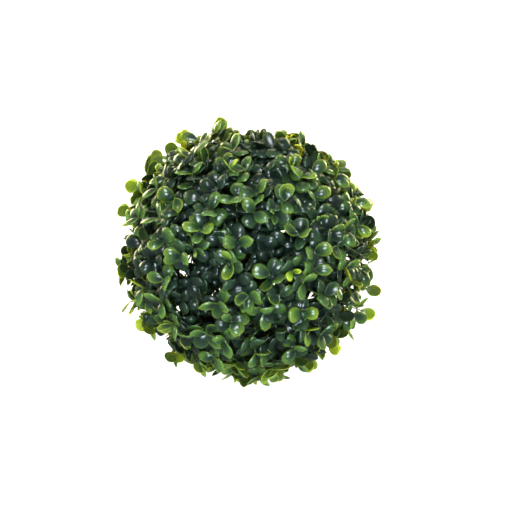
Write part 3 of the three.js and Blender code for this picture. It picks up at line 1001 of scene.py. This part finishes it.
def make_core():
    """The two halves of the lattice: rim, bored sockets and the bars between them."""
    material = other_plastic("core_plastic")
    for half, side in (("upper", 1), ("lower", -1)):
        shape = Shape()
        middle, end = socket_row(f"{half}_middle"), socket_row(f"{half}_end")
        rim_height = side * (GAP + RIB) / 2
        rim(shape, rim_height)
        pole = np.array([0, 0, side], float)
        for d in middle:
            rib(shape, on_core(d), on_core(unit(d * [1, 1, 0])) + [0, 0, rim_height])
        for i, d in enumerate(end):
            for other in (middle[2 * i], middle[2 * i + 1]):
                rib(shape, on_core(d), on_core(other))
            rib(shape, on_core(d), on_core(unit(d + (pole - d) * POLE_SHARE)))
        for d in middle + end:
            boss(shape, d, BOSS_RADIUS)
        if side > 0:
            boss(shape, pole, CROWN_RADIUS)
        else:
            low = COLLAR_BOTTOM - CENTRE[2]
            high = low + COLLAR_HEIGHT
            bored(shape, UP, STEM_RADIUS + GAP, COLLAR_RADIUS, low, high, COLLAR_CHAMFER, SIDES["collar"])
        dress(shape.piece(f"lattice_{half}", [material]), SLOT_CORE, f"core_{half}_half")


def on_core(d):
    return CENTRE + d * CORE_RADIUS


def rim(shape, height):
    """A half's rim at a height from the ball's middle, with all its edges chamfered."""
    edge = RIB / 2
    flat = edge - CHAMFER
    section = [
        (-edge, -flat), (-flat, -edge), (flat, -edge), (edge, -flat),
        (edge, flat), (flat, edge), (-flat, edge), (-edge, flat),
    ]
    profile = [(CORE_RADIUS + x, height + y) for x, y in section]
    turned(shape, UP, profile[::-1], SIDES["rim"], closed=True)


def rib(shape, start, end):
    tube(shape, np.linspace(start, end, RIB_POINTS), [RIB / 2] * RIB_POINTS, SIDES["rib"])


def boss(shape, d, radius):
    bored(shape, d, BORE_RADIUS, radius, SOCKET_IN, SOCKET_OUT, CHAMFER, SIDES["boss"])


def bored(shape, d, bore, radius, low, high, chamfer, sides):
    """A ring about a direction from the ball's middle, with its outer edges chamfered."""
    profile = [
        (bore, low), (radius - chamfer, low), (radius, low + chamfer),
        (radius, high - chamfer), (radius - chamfer, high), (bore, high),
    ]
    turned(shape, d, profile[::-1], sides, closed=True)


def make_stem():
    """The stem with its flared foot, the shoulder that the collar stands on, and its tip."""
    shape = Shape()
    top = COLLAR_BOTTOM - GAP  # of the shoulder
    low = top - SHOULDER_HEIGHT
    flare = [(flare_radius(h), h) for h in np.linspace(FOOT_EDGE, FLARE_TOP, FLARE_RINGS)]
    profile = [
        (FOOT_RADIUS - FOOT_CHAMFER, 0), (FOOT_RADIUS, FOOT_CHAMFER), *flare,
        (STEM_RADIUS, low - SHOULDER_HEIGHT), (SHOULDER_RADIUS - FOOT_CHAMFER, low),
        (SHOULDER_RADIUS, low + FOOT_CHAMFER), (SHOULDER_RADIUS, top - CHAMFER),
        (SHOULDER_RADIUS - CHAMFER, top), (STEM_RADIUS, top),
        (STEM_TIP_RADIUS, STEM_TOP - TIP_CHAMFER), (STEM_TIP_RADIUS - TIP_CHAMFER, STEM_TOP),
    ]
    turned(shape, UP, [(r, h - CENTRE[2]) for r, h in profile], SIDES["stem"])
    dress(shape.piece("hidden_stem", [other_plastic("stem_plastic")]), SLOT_STEM, "stem")


# Stage, light and camera

FLOOR_SIDE, FLOOR_BELOW = 60, 0.0002  # metres, and how far it lies below the ground's level
FLOOR_GLOW = 1.05


def make_stage():
    """A white floor that glows, so that it shows no shadow against the world."""
    bpy.ops.mesh.primitive_plane_add(size=FLOOR_SIDE, location=(0, 0, -FLOOR_BELOW))
    floor = bpy.context.object
    floor.name = "floor"
    material = other_plastic("floor_paint")
    shader = material.node_tree.nodes["Principled BSDF"]
    shader.inputs["Emission Color"].default_value = (1, 1, 1, 1)
    shader.inputs["Emission Strength"].default_value = FLOOR_GLOW
    floor.data.materials.append(material)
    floor.visible_glossy = False


# The world's strength as seen by the camera, in reflections, and as light from in front of the ball
# and from the white backdrop behind it
WORLD_SEEN, WORLD_REFLECTED = 1.4, 0.16
WORLD_FRONT, WORLD_BACK = 0.46, 3.7
FRONT_COLOUR, BACK_COLOUR = (0.95, 0.98, 0.96, 1), (1.0, 0.97, 0.76, 1)
BACKDROP_SPAN = (0.2, 0.65)  # from the front's light to the back's, as the sine of an angle


def make_world():
    """White to the camera, brighter as light from behind, and dim in the leaves' reflections."""
    world = bpy.data.worlds.new("studio")
    bpy.context.scene.world = world
    world.use_nodes = True
    nodes, links = world.node_tree.nodes, world.node_tree.links
    background = nodes["Background"]
    place = nodes.new("ShaderNodeTexCoord")
    axes = nodes.new("ShaderNodeSeparateXYZ")
    links.new(place.outputs["Generated"], axes.inputs["Vector"])
    share = nodes.new("ShaderNodeMapRange")
    share.inputs["From Min"].default_value, share.inputs["From Max"].default_value = BACKDROP_SPAN
    links.new(axes.outputs["Y"], share.inputs["Value"])
    colour = nodes.new("ShaderNodeMix")
    colour.data_type = "RGBA"
    colour.inputs["A"].default_value = FRONT_COLOUR
    colour.inputs["B"].default_value = BACK_COLOUR
    links.new(share.outputs["Result"], colour.inputs["Factor"])
    links.new(colour.outputs["Result"], background.inputs["Color"])
    light = nodes.new("ShaderNodeMapRange")
    light.inputs["To Min"].default_value = WORLD_FRONT
    light.inputs["To Max"].default_value = WORLD_BACK
    links.new(share.outputs["Result"], light.inputs["Value"])
    rays = nodes.new("ShaderNodeLightPath")
    strength = light.outputs["Result"]
    for kind, level in (("Is Glossy Ray", WORLD_REFLECTED), ("Is Camera Ray", WORLD_SEEN)):
        pick = nodes.new("ShaderNodeMapRange")
        pick.inputs["To Max"].default_value = level
        links.new(strength, pick.inputs["To Min"])
        links.new(rays.outputs[kind], pick.inputs["Value"])
        strength = pick.outputs["Result"]
    links.new(strength, background.inputs["Strength"])


ICY, COOL, WARM = (0.76, 0.90, 1.0), (0.88, 0.96, 1.0), (1.0, 0.94, 0.55)

# Soft boxes: degrees round the ball from its front and up, side in metres, power in watts and colour
SOFT_BOXES = [
    (0, 38, 0.42, 8.6, COOL),
    (98, 30, 0.40, 1.0, WARM),
    (144, 14, 0.80, 14.0, WARM),
    (216, 14, 0.80, 14.0, WARM),
    (262, 30, 0.40, 1.5, WARM),
    (180, 60, 0.60, 2.5, WARM),
    (2, 0, 0.45, 11.6, ICY),
]
SOFT_BOX_DISTANCE = 1.3
FRONT = -90  # the longitude of the ball's front


def make_lights():
    middle = Vector(CENTRE * MM)
    for i, (turn, elevation, side, power, colour) in enumerate(SOFT_BOXES):
        light = bpy.data.lights.new(f"soft_box_{i + 1}", "AREA")
        light.size = side
        light.energy = power
        light.color = colour
        box = bpy.data.objects.new(light.name, light)
        box.location = middle + Vector(direction(elevation, FRONT + turn)) * SOFT_BOX_DISTANCE
        box.rotation_euler = (middle - box.location).to_track_quat("-Z", "Y").to_euler()
        bpy.context.scene.collection.objects.link(box)


def make_camera():
    """Aims past the ball's middle by as much as the photo's framing does."""
    data = bpy.data.cameras.new("camera")
    camera = bpy.data.objects.new("camera", data)
    bpy.context.scene.collection.objects.link(camera)
    camera.location = Vector(CAMERA * MM)
    camera.rotation_euler = Vector(-VIEW).to_track_quat("-Z", "Y").to_euler()
    data.sensor_width = SENSOR_WIDTH
    data.lens = SENSOR_WIDTH * CAMERA_DISTANCE / (PHOTO_SIDE * MM_PER_PIXEL)
    bpy.context.scene.camera = camera
    bpy.context.scene.view_settings.view_transform = "Standard"


make_foliage()
make_core()
make_stem()
make_stage()
make_world()
make_lights()
make_camera()
